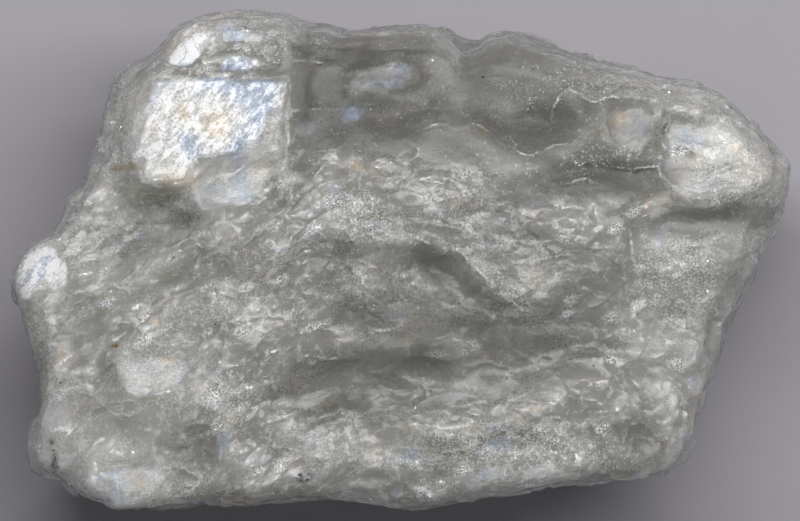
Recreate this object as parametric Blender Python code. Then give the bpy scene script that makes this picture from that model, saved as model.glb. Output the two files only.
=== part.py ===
"""Halite (rock salt): one broken, partly dissolved lump with cubic cleavage steps, lying on a flat face.

Frame: metres, +Z up, origin on the resting face under the middle of the lump's box.
+X runs along the lump's length and +Y across it, and the best cleavage face looks up.
Sizes below are in millimetres, and settle() turns them into metres at the very end.
"""

import math

import bmesh
import bpy
from mathutils import Euler, Matrix, Vector, noise
from mathutils.geometry import delaunay_2d_cdt

MM = 0.001

# Driving dimensions
LENGTH = 97.8
WIDTH = 62.7
HEIGHT = 40.0
NODE_NAME = "halite_lump"

# Halite cleaves along the three faces of a cube. This is how that cube lies in the lump.
CUBE_TILT_X = math.radians(-8.0)
CUBE_TILT_Y = math.radians(-2.0)
CUBE_TURN_Z = math.radians(-1.5)
CUBE_MIDDLE = Vector((0.0, 0.0, HEIGHT / 2.0))
CUBE = Euler((CUBE_TILT_X, CUBE_TILT_Y, CUBE_TURN_Z)).to_matrix()
CUBE_UP = CUBE @ Vector((0.0, 0.0, 1.0))

# Mesh spacings
RIM_POINTS = 108
UPPER_SPACING = 1.7
LOWER_RINGS = 9
SHOULDER_RINGS = 2
SHORTEST_EDGE = 0.06

# The widest line round the lump, as (x, y, height of that line above the resting face).
RIM = (
    (-48.9, -2.2, 24.0),
    (-48.1, 0.6, 24.0),
    (-46.4, 2.2, 23.0),
    (-44.3, 2.9, 21.0),
    (-42.7, 5.1, 17.0),
    (-42.4, 7.6, 15.0),
    (-39.2, 10.3, 16.0),
    (-39.2, 12.8, 16.0),
    (-36.8, 20.3, 16.0),
    (-36.8, 22.3, 17.0),
    (-34.6, 24.1, 18.0),
    (-30.6, 25.7, 18.0),
    (-27.9, 29.3, 20.0),
    (-26.2, 30.2, 20.0),
    (-18.6, 31.3, 20.0),
    (-14.7, 30.9, 18.0),
    (-12.1, 29.2, 17.0),
    (-10.4, 29.6, 17.0),
    (-7.7, 28.9, 16.0),
    (-3.3, 29.2, 16.0),
    (5.7, 29.1, 17.0),
    (7.6, 25.6, 20.0),
    (12.6, 28.6, 23.0),
    (21.1, 25.8, 14.0),
    (29.8, 24.1, 14.0),
    (32.3, 22.7, 15.0),
    (36.1, 22.3, 17.0),
    (39.6, 21.1, 19.0),
    (41.7, 19.6, 20.0),
    (48.2, 12.9, 20.0),
    (49.25, 11.0, 20.0),
    (46.3, 2.6, 17.0),
    (43.6, -4.0, 15.0),
    (41.7, -6.4, 14.0),
    (36.3, -23.1, 16.0),
    (33.8, -26.8, 19.0),
    (31.8, -27.6, 21.0),
    (22.3, -28.4, 25.0),
    (19.8, -27.9, 26.0),
    (17.3, -28.8, 26.0),
    (6.7, -30.3, 26.0),
    (2.3, -31.4, 27.0),
    (-8.3, -29.7, 29.0),
    (-21.4, -30.7, 29.0),
    (-25.2, -30.3, 29.0),
    (-35.4, -31.2, 27.0),
    (-41.2, -29.1, 22.0),
    (-42.9, -27.7, 17.0),
    (-46.1, -26.8, 12.0),
    (-46.9, -25.2, 12.0),
    (-46.2, -19.9, 15.0),
    (-45.2, -18.6, 20.0),
    (-45.8, -11.2, 25.0),
    (-48.6, -4.7, 24.0),
)

# Heights of the upper side at places across it, as (x, y, z).
UPPER_SPOTS = (
    (-0.2, 0.1, 38.4),
    (-8.9, 7.6, 39.0),
    (6.1, 7.6, 37.8),
    (-18.9, 0.1, 37.4),
    (-31.4, 0.1, 35.4),
    (-43.0, -1.5, 31.5),
    (-37.7, -10.0, 35.5),
    (-42.0, -21.0, 31.0),
    (-35.2, -27.5, 32.0),
    (-25.2, -22.5, 37.0),
    (-12.7, -26.0, 35.0),
    (-0.2, -27.5, 33.5),
    (12.3, -25.0, 35.0),
    (24.8, -23.5, 33.0),
    (32.3, -22.5, 27.5),
    (6.0, -13.7, 36.4),
    (24.8, -13.7, 34.0),
    (35.5, -15.0, 25.5),
    (41.5, -1.5, 26.0),
    (37.0, 3.8, 31.4),
    (39.8, 13.8, 32.8),
    (45.5, 10.5, 28.0),
    (29.8, 16.3, 33.7),
    (19.8, 20.0, 31.8),
    (12.3, 24.5, 31.5),
    (19.8, 7.5, 36.8),
    (2.3, 22.5, 30.8),
    (-8.9, 24.0, 29.5),
    (-23.9, 16.0, 35.2),
    (-31.5, 24.5, 27.0),
    (-23.3, 27.0, 31.5),
    (-36.5, 13.8, 27.0),
    (-38.9, 6.3, 29.5),
)
SPOT_REACH = 6.8

# Bands in the salt rise to the right in the left half, and lie level in the right half.
BAND_SLOPE = 0.5
BAND_LEVEL_X = -6.0

# Scallops that dissolving leaves, as (length along the bands, width, depth, seed).
UPPER_SCALLOPS = ((12.5, 6.2, 1.6, 4.4), (6.0, 3.7, 0.8, 8.1))
FLANK_SCALLOPS = ((11.0, 8.0, 2.0, 6.7), (5.2, 4.6, 0.7, 1.9))

# Single hollows in the upper side, as (x, y, half length, half width, turn in degrees, depth).
HOLLOWS = (
    (6.0, -13.5, 21.0, 5.8, 10.0, 1.9),
    (4.8, -1.2, 5.2, 2.6, -38.0, 1.8),
    (14.5, 18.0, 8.0, 4.0, -6.0, 1.2),
    (-5.0, 15.5, 7.5, 4.5, 0.0, 1.3),
    (24.0, 10.8, 10.0, 2.0, 4.0, 1.6),
    (38.0, 6.2, 7.5, 1.6, 6.0, 1.8),
    (-31.0, 3.6, 9.0, 2.6, 24.0, 1.1),
    (-31.0, -17.9, 3.6, 1.4, -14.0, 1.0),
    (30.2, -22.6, 3.4, 2.6, 30.0, 1.2),
    (-12.8, 15.0, 1.6, 6.5, 2.0, 1.2),
)

# Ridges left standing where the salt dissolved round them, as (height, half width, points).
RIDGES = (
    (1.8, 1.5, ((-8.0, 3.6), (-3.3, 2.6), (2.9, 2.3), (7.9, -0.6), (12.9, -4.7), (17.9, -5.2))),
    (1.2, 1.4, ((-20.2, -0.2), (-17.4, 2.6), (-15.4, 4.7), (-13.7, 4.1))),
    (1.2, 1.4, ((-16.4, -0.2), (-13.9, 2.6), (-11.8, 4.6), (-10.0, 3.1))),
    (1.1, 1.4, ((-9.6, -4.9), (-7.1, -3.7), (-4.6, -4.3), (-3.7, -6.2))),
    (1.1, 1.4, ((3.6, -3.1), (5.4, -2.8), (6.7, -3.9), (7.6, -5.6))),
    (1.5, 1.5, ((-43.3, -17.2), (-41.0, -15.9), (-38.0, -16.2), (-35.8, -18.3), (-32.4, -18.1))),
    (1.5, 1.6, ((4.2, -20.6), (8.6, -21.2), (12.3, -20.6), (14.8, -19.3), (19.8, -17.4), (24.8, -17.2))),
    (1.2, 1.5, ((-16.0, -21.2), (-12.7, -21.9), (-9.0, -23.3))),
    (1.2, 1.6, ((-40.0, -3.0), (-36.0, -3.4), (-32.0, -3.1))),
    (1.0, 1.5, ((-36.5, -7.6), (-33.0, -7.4), (-31.0, -9.6))),
    (1.3, 1.6, ((-31.4, -0.5), (-28.4, 0.4), (-25.2, 2.6), (-21.2, 4.3))),
    (1.2, 1.6, ((13.8, 14.0), (18.6, 14.4), (23.0, 15.3), (25.4, 14.3), (28.0, 13.6), (31.1, 17.0))),
    (1.1, 1.4, ((2.9, 17.0), (7.4, 17.2), (11.0, 15.0))),
    (1.3, 1.7, ((-26.4, -17.0), (-24.0, -19.4), (-22.4, -22.0), (-21.4, -24.6))),
)

# Flat cleaved panes in the upper side, as (height at the pane's middle, corners in plan).
# The first is the largest. The second lies a step below it, towards the back.
PANES = (
    (34.9, ((-30.9, 23.0), (-13.9, 23.0), (-14.2, 15.6), (-15.6, 13.2), (-19.6, 13.0), (-25.4, 11.6), (-27.2, 10.0),
            (-32.2, 9.8), (-33.4, 13.6), (-32.8, 17.6), (-31.6, 20.2))),
    (32.4, ((-31.0, 23.2), (-14.6, 23.2), (-14.8, 27.4), (-16.2, 29.0), (-19.2, 30.2), (-26.0, 29.2), (-29.4, 26.4))),
    (34.8, ((-25.2, 11.4), (-19.4, 12.8), (-15.4, 12.8), (-15.0, 7.6), (-17.8, 6.0), (-22.0, 5.8), (-25.6, 7.2))),
    (32.4, ((31.8, 15.8), (33.0, 17.6), (37.3, 18.4), (41.6, 17.2), (44.8, 13.8), (45.4, 10.6), (41.5, 8.6),
            (37.3, 7.4), (33.6, 8.6), (31.8, 11.2), (32.8, 13.5))),
    (31.0, ((-6.4, 21.6), (-1.2, 25.2), (2.6, 24.8), (3.6, 22.0), (0.2, 20.4))),
    (33.6, ((25.2, 19.4), (29.8, 20.6), (31.2, 18.4), (30.2, 15.2), (27.8, 13.7), (25.8, 15.0))),
    (35.9, ((-35.2, -12.4), (-31.6, -10.8), (-26.2, -11.2), (-26.0, -15.8), (-29.4, -16.6), (-33.8, -16.0))),
    (34.2, ((-38.2, -24.4), (-32.0, -24.8), (-26.6, -25.8), (-28.0, -29.8), (-34.8, -30.2), (-38.2, -28.0))),
    (27.6, ((34.8, -13.0), (38.2, -13.2), (38.0, -17.2), (35.0, -17.4))),
    (31.6, ((-48.4, -1.6), (-45.8, 1.6), (-42.0, 1.8), (-40.4, -1.4), (-42.4, -4.4), (-46.6, -5.4))),
    (34.6, ((10.4, -22.6), (16.6, -22.2), (22.4, -23.4), (21.0, -27.4), (12.0, -28.4))),
)
PANE_LIFT = 0.8
PANE_BORDER = 2.6

# Blocks that have cleaved away, as (x from, x to, y from, y to, z from, z to) along the
# cube's directions and from the cube's middle. Each runs on past the lump's outside.
FAR = 60.0
CLEAVED_BLOCKS = (
    # left end
    (-FAR, -41.6, 2.4, FAR, -FAR, 3.4),
    (-FAR, -38.4, 4.8, FAR, -FAR, -4.6),
    (-FAR, -43.4, -18.0, -4.0, -FAR, -3.4),
    (-FAR, -41.2, -12.0, 2.0, -FAR, -9.6),
    (-FAR, -39.6, -FAR, -17.0, -FAR, -12.4),
    (-FAR, -44.4, -FAR, -19.4, -4.6, FAR),
    (-FAR, -39.6, 6.6, 11.0, 0.4, FAR),
    # front
    (-39.4, -30.6, -FAR, -27.2, -FAR, 4.4),
    (-41.2, -19.0, -FAR, -25.8, -FAR, -0.8),
    (-42.6, -6.4, -FAR, -24.6, -FAR, -5.6),
    (-FAR, 3.0, -FAR, -23.2, -FAR, -12.4),
    (9.6, FAR, -FAR, -26.0, -FAR, 2.2),
    (16.8, FAR, -FAR, -24.6, -FAR, -3.8),
    (25.6, FAR, -FAR, -21.6, -FAR, -9.4),
    # right end
    (36.6, FAR, -FAR, -9.0, -FAR, -6.2),
    (41.0, FAR, -10.4, 1.6, -FAR, -7.6),
    (43.2, FAR, 1.4, FAR, -FAR, -5.0),
    (40.0, FAR, 8.8, FAR, -FAR, -10.8),
    (45.6, FAR, 12.4, FAR, 3.4, FAR),
    (38.2, FAR, -14.2, -6.4, 0.6, FAR),
    (34.4, FAR, -FAR, -14.0, 4.6, FAR),
    # back
    (24.4, FAR, 18.2, FAR, -FAR, -7.8),
    (31.6, FAR, 20.6, FAR, 7.4, FAR),
    (14.6, 26.0, 23.6, FAR, -FAR, -9.8),
    (-9.4, 10.4, 24.6, FAR, -FAR, -5.8),
    (-4.0, 5.4, 22.6, FAR, -FAR, -9.4),
    (-30.0, -15.4, 26.4, FAR, -FAR, -2.6),
    (-21.0, -9.6, 24.0, FAR, -FAR, -8.0),
    (-FAR, -24.8, 23.0, FAR, -FAR, -7.4),
    (-FAR, -32.4, 18.6, FAR, -FAR, -2.2),
    (-FAR, -35.6, 20.0, FAR, 3.2, FAR),
    (-FAR, -29.6, 25.4, FAR, 5.2, FAR),
)

# How far the resting face lies inside the rim on each side, as (degrees round from +X, inset).
BASE_INSET = ((-180.0, 8.0), (-120.0, 8.5), (-90.0, 8.5), (-50.0, 7.0), (0.0, 7.5), (45.0, 5.0), (90.0, 4.5),
              (150.0, 7.0), (180.0, 8.0))
# How far the shoulder of the upper side lies inside the rim.
SHOULDER_INSET = ((-180.0, 2.4), (-140.0, 2.0), (-90.0, 1.5), (-50.0, 2.0), (-30.0, 3.8), (10.0, 4.2), (40.0, 3.4),
                  (70.0, 3.6), (100.0, 3.0), (140.0, 2.8), (180.0, 2.4))
FLANK_BULGE = 2.0
# Below the rim the flanks follow an evened-out rim, over this many points to each side.
EVEN_OUT = 4
# The rim wanders up and down by this much, over this length.
RIM_WANDER = 3.4
RIM_WANDER_LENGTH = 8.0
SPINE_HALF = 21.0


def clear_scene():
    for old in list(bpy.data.objects):
        bpy.data.objects.remove(old, do_unlink=True)


def smooth_step(t):
    t = min(max(t, 0.0), 1.0)
    return t * t * (3.0 - 2.0 * t)


def around(stations, degrees):
    """The value in this direction, between the stations on either side of it."""
    for (a, low), (b, high) in zip(stations, stations[1:]):
        if a <= degrees <= b:
            return low + (high - low) * smooth_step((degrees - a) / (b - a))
    return stations[0][1]


def from_line(x, y, line):
    """Distance in plan from a point to a line through several points."""
    best = math.inf
    for (ax, ay), (bx, by) in zip(line, line[1:]):
        along = ((x - ax) * (bx - ax) + (y - ay) * (by - ay)) / ((bx - ax) ** 2 + (by - ay) ** 2)
        along = min(max(along, 0.0), 1.0)
        best = min(best, math.hypot(x - ax - along * (bx - ax), y - ay - along * (by - ay)))
    return best


def inside(x, y, corners):
    """True if the point lies inside the closed outline in plan."""
    odd = False
    for (ax, ay), (bx, by) in zip(corners, corners[1:] + corners[:1]):
        if (ay > y) != (by > y) and x < ax + (y - ay) / (by - ay) * (bx - ax):
            odd = not odd
    return odd


def pane_height(pane, x, y):
    """The height of a cleaved pane's plane at this place."""
    height, corners = pane
    from_middle_x = x - sum(px for px, _ in corners) / len(corners)
    from_middle_y = y - sum(py for _, py in corners) / len(corners)
    return height - (CUBE_UP.x * from_middle_x + CUBE_UP.y * from_middle_y) / CUBE_UP.z


def scallops(place, seed):
    """Hollow cells that meet in ridges: 0 in the middle of a cell, and about 1 where cells meet."""
    distances, _ = noise.voronoi(place + Vector((seed, 2.0 * seed, 0.0)))
    return min(distances[0] * 1.35, 1.0) ** 2


def bands(x, y):
    """Plan coordinates along and across the salt's bands."""
    bend = min(x - BAND_LEVEL_X, 0.0)
    return x, y - BAND_SLOPE * bend


def upper_height(x, y):
    """The height of the upper side before its panes are cut flat."""
    total = weight = 0.0
    for sx, sy, sz in UPPER_SPOTS:
        w = math.exp(-((x - sx) ** 2 + (y - sy) ** 2) / (2.0 * SPOT_REACH**2))
        total += w * sz
        weight += w
    height = total / weight
    for cx, cy, half_length, half_width, turn, depth in HOLLOWS:
        c = math.cos(math.radians(turn))
        s = math.sin(math.radians(turn))
        u = ((x - cx) * c + (y - cy) * s) / half_length
        v = ((y - cy) * c - (x - cx) * s) / half_width
        height -= depth * smooth_step(1.2 - math.hypot(u, v))
    for size, half_width, line in RIDGES:
        height += size * math.exp(-((from_line(x, y, line) / half_width) ** 2))
    along, across = bands(x, y)
    for length, width, depth, seed in UPPER_SCALLOPS:
        height += depth * (scallops(Vector((along / length, across / width, 0.0)), seed) - 0.5)
    for pane in PANES:
        closed = pane[1] + pane[1][:1]
        away = 0.0 if inside(x, y, pane[1]) else from_line(x, y, closed)
        share = smooth_step(1.0 - away / PANE_BORDER)
        height += (pane_height(pane, x, y) + PANE_LIFT - height) * share
    return height


def rim_points():
    """RIM_POINTS places at even steps along the rim."""
    corners = [Vector(p) for p in RIM]
    ends = corners[1:] + corners[:1]
    lengths = [(b - a).length for a, b in zip(corners, ends)]
    step = sum(lengths) / RIM_POINTS
    points = []
    edge = 0
    passed = 0.0
    for number in range(RIM_POINTS):
        target = number * step
        while passed + lengths[edge] < target:
            passed += lengths[edge]
            edge += 1
        place = corners[edge].lerp(ends[edge], (target - passed) / lengths[edge])
        place.z += RIM_WANDER * noise.noise(Vector((place.x, place.y, 41.0)) / RIM_WANDER_LENGTH)
        points.append(place)
    return points


def moved_in(point, inset):
    """The place moved in plan towards the lump's spine, which lies along X."""
    spine = Vector((min(max(point.x, -SPINE_HALF), SPINE_HALF), 0.0))
    way = (spine - point.to_2d()).normalized()
    return point.to_2d() + way * inset


def evened(rim):
    """The rim with its notches evened out."""
    loop = []
    for number in range(len(rim)):
        near = [rim[(number + step) % len(rim)] for step in range(-EVEN_OUT, EVEN_OUT + 1)]
        loop.append(sum(near, Vector()) / len(near))
    return loop


def lower_loop(rim, share):
    """A loop of points round the flanks, this share of the way from the resting face to the rim."""
    loop = []
    for notched, even in zip(rim, evened(rim)):
        place = notched.lerp(even, (1.0 - share) ** 0.8)
        direction = math.degrees(math.atan2(place.y, place.x))
        inset = around(BASE_INSET, direction) * (1.0 - share)
        inset -= FLANK_BULGE * math.sin(math.pi * share)
        spot = moved_in(place, inset)
        loop.append(Vector((spot.x, spot.y, place.z * share)))
    return loop


def shoulder_loop(rim, share):
    """A loop of points this share of the way round the shoulder, from the rim to the upper side."""
    loop = []
    for place in rim:
        direction = math.degrees(math.atan2(place.y, place.x))
        shoulder = moved_in(place, around(SHOULDER_INSET, direction))
        top = upper_height(shoulder.x, shoulder.y)
        spot = place.to_2d().lerp(shoulder, 1.0 - math.cos(share * math.pi / 2.0))
        loop.append(Vector((spot.x, spot.y, place.z + (top - place.z) * math.sin(share * math.pi / 2.0))))
    return loop


def upper_points(border):
    """Plan points spread over the upper side, in slightly uneven rows."""
    points = []
    row_step = UPPER_SPACING * math.sqrt(3.0) / 2.0
    rows = int(WIDTH / row_step) + 1
    columns = int(LENGTH / UPPER_SPACING) + 1
    closed = border + border[:1]
    for row in range(rows):
        for column in range(columns):
            x = -LENGTH / 2.0 + (column + 0.5 * (row % 2)) * UPPER_SPACING
            y = -WIDTH / 2.0 + row * row_step
            x += 0.3 * UPPER_SPACING * noise.noise(Vector((x, y, 11.0)))
            y += 0.3 * UPPER_SPACING * noise.noise(Vector((x, y, 29.0)))
            if inside(x, y, border) and from_line(x, y, closed) > 0.5 * UPPER_SPACING:
                points.append((x, y))
    return points


def roughen_flanks(shell, flank):
    """Hollows the flanks with scallops, so that they are lumpy and not smooth sweeps."""
    moves = {}
    for vertex in flank:
        move = 0.0
        for length, width, depth, seed in FLANK_SCALLOPS:
            place = Vector((vertex.co.x / length, vertex.co.y / length, vertex.co.z / width))
            move += depth * (scallops(place, seed) - 0.7)
        moves[vertex] = vertex.normal * move
    for vertex, move in moves.items():
        vertex.co += move


def lump_blank():
    """The whole lump before its blocks cleave away: resting face, flanks and upper side in one shell."""
    rim = rim_points()
    loops = [lower_loop(rim, ring / LOWER_RINGS) for ring in range(LOWER_RINGS + 1)]
    loops += [shoulder_loop(rim, ring / SHOULDER_RINGS) for ring in range(1, SHOULDER_RINGS + 1)]
    shell = bmesh.new()
    made = [[shell.verts.new(p) for p in loop] for loop in loops]
    for low, high in zip(made, made[1:]):
        for i in range(RIM_POINTS):
            following = (i + 1) % RIM_POINTS
            shell.faces.new((low[i], low[following], high[following], high[i]))
    shell.faces.new(made[0])
    border = [(p.x, p.y) for p in loops[-1]]
    points = [Vector(p) for p in border + upper_points(border)]
    ring = list(range(RIM_POINTS))
    flat, _, faces, sources, _, _ = delaunay_2d_cdt(points, [], [ring], 1, 1e-4)
    corners = []
    for place, source in zip(flat, sources):
        if source and source[0] < RIM_POINTS:
            corners.append(made[-1][source[0]])
        else:
            corners.append(shell.verts.new((place.x, place.y, upper_height(place.x, place.y))))
    for face in faces:
        shell.faces.new([corners[i] for i in face])
    bmesh.ops.recalc_face_normals(shell, faces=shell.faces)
    shell.normal_update()
    roughen_flanks(shell, [v for loop in made[1:LOWER_RINGS] for v in loop])
    bmesh.ops.triangulate(shell, faces=[f for f in shell.faces if len(f.verts) == 4])
    return as_object(shell, NODE_NAME)


def as_object(shell, name):
    mesh = bpy.data.meshes.new(name)
    shell.to_mesh(mesh)
    shell.free()
    made = bpy.data.objects.new(name, mesh)
    bpy.context.scene.collection.objects.link(made)
    return made


def take_off(lump, cutter):
    """Cuts the cutter's shape out of the lump, and throws the cutter away."""
    cut = lump.modifiers.new(cutter.name, "BOOLEAN")
    cut.operation = "DIFFERENCE"
    cut.solver = "EXACT"
    cut.object = cutter
    bpy.context.view_layer.objects.active = lump
    bpy.ops.object.modifier_apply(modifier=cut.name)
    bpy.data.objects.remove(cutter, do_unlink=True)


def pane_cutter(number, pane):
    """A prism whose flat underside is the pane."""
    height, corners = pane
    above = CUBE_UP * (HEIGHT / 2.0)
    prism = bmesh.new()
    low = [prism.verts.new((x, y, pane_height(pane, x, y))) for x, y in corners]
    high = [prism.verts.new(v.co + above) for v in low]
    prism.faces.new(low)
    prism.faces.new(high)
    count = len(low)
    for i in range(count):
        following = (i + 1) % count
        prism.faces.new((low[i], low[following], high[following], high[i]))
    bmesh.ops.recalc_face_normals(prism, faces=prism.faces)
    return as_object(prism, f"pane_cutter_{number}")


def block_cutter(number, ranges):
    """A block that lies square to the cube."""
    x0, x1, y0, y1, z0, z1 = ranges
    block = bmesh.new()
    bmesh.ops.create_cube(block, size=1.0)
    size = Matrix.Diagonal((x1 - x0, y1 - y0, z1 - z0, 1.0))
    middle = Matrix.Translation(((x0 + x1) / 2.0, (y0 + y1) / 2.0, (z0 + z1) / 2.0))
    place = Matrix.Translation(CUBE_MIDDLE) @ CUBE.to_4x4() @ middle @ size
    bmesh.ops.transform(block, matrix=place, verts=block.verts)
    return as_object(block, f"block_cutter_{number}")


def close_slivers(lump):
    """Closes up the hair-thin faces that the cuts leave."""
    shell = bmesh.new()
    shell.from_mesh(lump.data)
    bmesh.ops.dissolve_degenerate(shell, dist=SHORTEST_EDGE, edges=shell.edges)
    bmesh.ops.triangulate(shell, faces=shell.faces)
    bmesh.ops.dissolve_degenerate(shell, dist=SHORTEST_EDGE, edges=shell.edges)
    shell.to_mesh(lump.data)
    shell.free()


def settle(lump):
    """Turns millimetres into metres and puts the origin on the resting face, under the middle of the box."""
    corners = [Vector(c) for c in lump.bound_box]
    low = Vector([min(c[i] for c in corners) for i in range(3)])
    high = Vector([max(c[i] for c in corners) for i in range(3)])
    shift = Vector((-(low.x + high.x) / 2.0, -(low.y + high.y) / 2.0, -low.z))
    lump.data.transform(Matrix.Scale(MM, 4) @ Matrix.Translation(shift))
    lump.data.update()
    size = high - low
    print(f"lump {size.x:.2f} x {size.y:.2f} x {size.z:.2f} mm, moved by {shift.x:.2f}, {shift.y:.2f}, {shift.z:.2f}")


def rock_salt():
    """Grey, hazy, see-through rock salt."""
    material = bpy.data.materials.new("rock_salt")
    material.use_nodes = True
    shader = material.node_tree.nodes["Principled BSDF"]
    shader.inputs["Base Color"].default_value = (0.62, 0.64, 0.61, 1.0)
    shader.inputs["Roughness"].default_value = 0.18
    shader.inputs["IOR"].default_value = 1.544
    shader.inputs["Transmission Weight"].default_value = 0.8
    return material


def build():
    clear_scene()
    lump = lump_blank()
    for number, pane in enumerate(PANES):
        take_off(lump, pane_cutter(number, pane))
    for number, ranges in enumerate(CLEAVED_BLOCKS):
        take_off(lump, block_cutter(number, ranges))
    close_slivers(lump)
    settle(lump)
    lump.data.materials.append(rock_salt())
    return lump


build()
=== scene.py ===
# %% [markdown]
# # A lump of halite
# Halite is rock salt. This lump is one clouded crystal mass that broke along the faces of a cube and then
# dissolved a little, so flat white cleavage panes stand among rippled, glassy hollows. It lies on its flat
# back, and the camera looks straight down on it.

import math

import bmesh
import bpy
import numpy as np
from mathutils import Euler, Matrix, Vector, noise
from mathutils.bvhtree import BVHTree
from mathutils.kdtree import KDTree


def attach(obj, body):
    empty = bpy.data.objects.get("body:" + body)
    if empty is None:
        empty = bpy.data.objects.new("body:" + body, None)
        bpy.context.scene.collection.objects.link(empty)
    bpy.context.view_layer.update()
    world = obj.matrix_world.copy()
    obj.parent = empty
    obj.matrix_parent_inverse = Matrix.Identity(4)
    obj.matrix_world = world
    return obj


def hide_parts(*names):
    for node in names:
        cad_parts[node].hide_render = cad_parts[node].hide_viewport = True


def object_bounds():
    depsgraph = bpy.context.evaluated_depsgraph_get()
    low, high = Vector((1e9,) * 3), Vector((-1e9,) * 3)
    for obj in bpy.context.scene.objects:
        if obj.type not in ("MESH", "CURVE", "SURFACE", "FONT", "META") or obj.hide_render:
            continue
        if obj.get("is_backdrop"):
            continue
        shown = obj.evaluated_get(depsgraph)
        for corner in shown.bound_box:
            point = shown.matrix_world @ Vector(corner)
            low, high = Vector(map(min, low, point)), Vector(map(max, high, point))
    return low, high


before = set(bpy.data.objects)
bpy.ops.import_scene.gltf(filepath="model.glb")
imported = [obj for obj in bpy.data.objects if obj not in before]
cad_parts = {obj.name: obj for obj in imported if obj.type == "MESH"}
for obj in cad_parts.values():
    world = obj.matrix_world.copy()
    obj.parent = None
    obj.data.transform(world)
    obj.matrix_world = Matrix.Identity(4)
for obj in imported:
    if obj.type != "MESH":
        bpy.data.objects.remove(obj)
MM = 0.001  # metres in a millimetre
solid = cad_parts["halite_lump"]
solid_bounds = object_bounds()
print("solid model, mm:", [[round(v / MM, 1) for v in corner] for corner in solid_bounds])

# %% [markdown]
# ## Small helpers
# Everything is planned in millimetres, because a lump of salt is measured in them, and turned into metres
# when it goes into a mesh. Colours are written as they look on a screen and turned into linear light by
# one function. One more function adds a shader node with its settings and links.

# %% Colours, nodes and modifiers
def linear(hex_colour):
    """A screen colour such as "a8a5a2" as linear red, green, blue and alpha, by the sRGB curve."""
    shares = [int(hex_colour[i : i + 2], 16) / 255.0 for i in (0, 2, 4)]
    return tuple(s / 12.92 if s <= 0.04045 else ((s + 0.055) / 1.055) ** 2.4 for s in shares) + (1.0,)


def add_node(tree, kind, inputs=None, output=0, **settings):
    """Adds a node and gives one of its outputs. Each input is a plain value or another node's output."""
    node = tree.nodes.new(kind)
    for name, value in settings.items():
        setattr(node, name, value)
    for name, value in (inputs or {}).items():
        if isinstance(value, bpy.types.NodeSocket):
            tree.links.new(value, node.inputs[name])
        else:
            node.inputs[name].default_value = value
    return node.outputs[output]


def select_only(piece):
    """Operators act on all that is selected, so everything else is deselected first."""
    bpy.ops.object.select_all(action="DESELECT")
    piece.select_set(True)
    bpy.context.view_layer.objects.active = piece


def apply_modifier(piece, kind, **settings):
    """Adds a modifier with its settings and makes its result the piece's own mesh."""
    select_only(piece)
    modifier = piece.modifiers.new(kind.lower(), kind)
    for name, value in settings.items():
        setattr(modifier, name, value)
    bpy.ops.object.modifier_apply(modifier=modifier.name)


print("white in linear light:", [round(v, 3) for v in linear("ffffff")])

# %% [markdown]
# ## The camera
# The lump is seen as a flatbed scanner sees it, square on from above, so a long lens looks straight down.

# %% Camera
LENS = 900.0
SENSOR = 36.0
FRAME_WIDTH_MM = 100.0
FOCUS_HEIGHT_MM = 20.0
CAMERA_X_MM = -0.2
CAMERA_Y_MM = 0.0

camera_data = bpy.data.cameras.new("camera")
camera_data.lens = LENS
camera_data.sensor_width = SENSOR
camera = bpy.data.objects.new("camera", camera_data)
bpy.context.scene.collection.objects.link(camera)
distance_mm = FRAME_WIDTH_MM * LENS / SENSOR
camera.location = Vector((CAMERA_X_MM, CAMERA_Y_MM, FOCUS_HEIGHT_MM + distance_mm)) * MM
bpy.context.scene.camera = camera
print("camera height, mm:", round(distance_mm + FOCUS_HEIGHT_MM))

# %% [markdown]
# ## The fine surface
# The solid model has the lump's faces, ledges and ridges. The real surface is finer: it is closed over with
# ripples and pits that dissolving left. The fine surface starts as a copy of the solid, is remeshed evenly,
# made finer on the side that shows most, and then shaped point by point.

# %% Copy and remesh
VOXEL_MM = 0.71
MERGE_MM = 0.001

surface = bpy.data.objects.new("halite_surface", solid.data.copy())
bpy.context.scene.collection.objects.link(surface)
select_only(surface)
bpy.ops.object.mode_set(mode="EDIT")
bpy.ops.mesh.select_all(action="SELECT")
bpy.ops.mesh.remove_doubles(threshold=MERGE_MM * MM)
bpy.ops.object.mode_set(mode="OBJECT")
plain_solid = bmesh.new()
plain_solid.from_mesh(surface.data)
apply_modifier(surface, "REMESH", mode="VOXEL", voxel_size=VOXEL_MM * MM)
print("remeshed faces:", len(surface.data.polygons))

# %% Finer faces on the upper side
UPPER_FROM_MM = 17.0
UPPER_NORMAL_Z = 0.30

bpy.ops.object.mode_set(mode="EDIT")
bpy.ops.mesh.select_mode(type="FACE")
bpy.ops.mesh.select_all(action="DESELECT")
bpy.ops.object.mode_set(mode="OBJECT")
for face in surface.data.polygons:
    face.select = face.normal.z > UPPER_NORMAL_Z and face.center.z > UPPER_FROM_MM * MM
bpy.ops.object.mode_set(mode="EDIT")
bpy.ops.mesh.subdivide(number_cuts=1)
bpy.ops.object.mode_set(mode="OBJECT")
print("faces after subdividing:", len(surface.data.polygons))

# %% [markdown]
# ### Which parts are cleaved flat
# Salt splits along three directions that are square to each other. A point whose nearest face on the solid
# looks along one of them is on a cleavage pane and stays flat.

# %% Flat panes
CUBE_TURN_DEG = (-8.0, -2.0, -1.5)
SQUARE_ENOUGH = 0.9990
FLAT_MARGIN_MM = 1.0
RESTING_Z = -0.999  # the resting face's normal points this far down
UPPER_START_Z = 0.15  # a point counts as upper from here on
UPPER_RANGE_Z = 0.5  # and fully so this much further up

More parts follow.
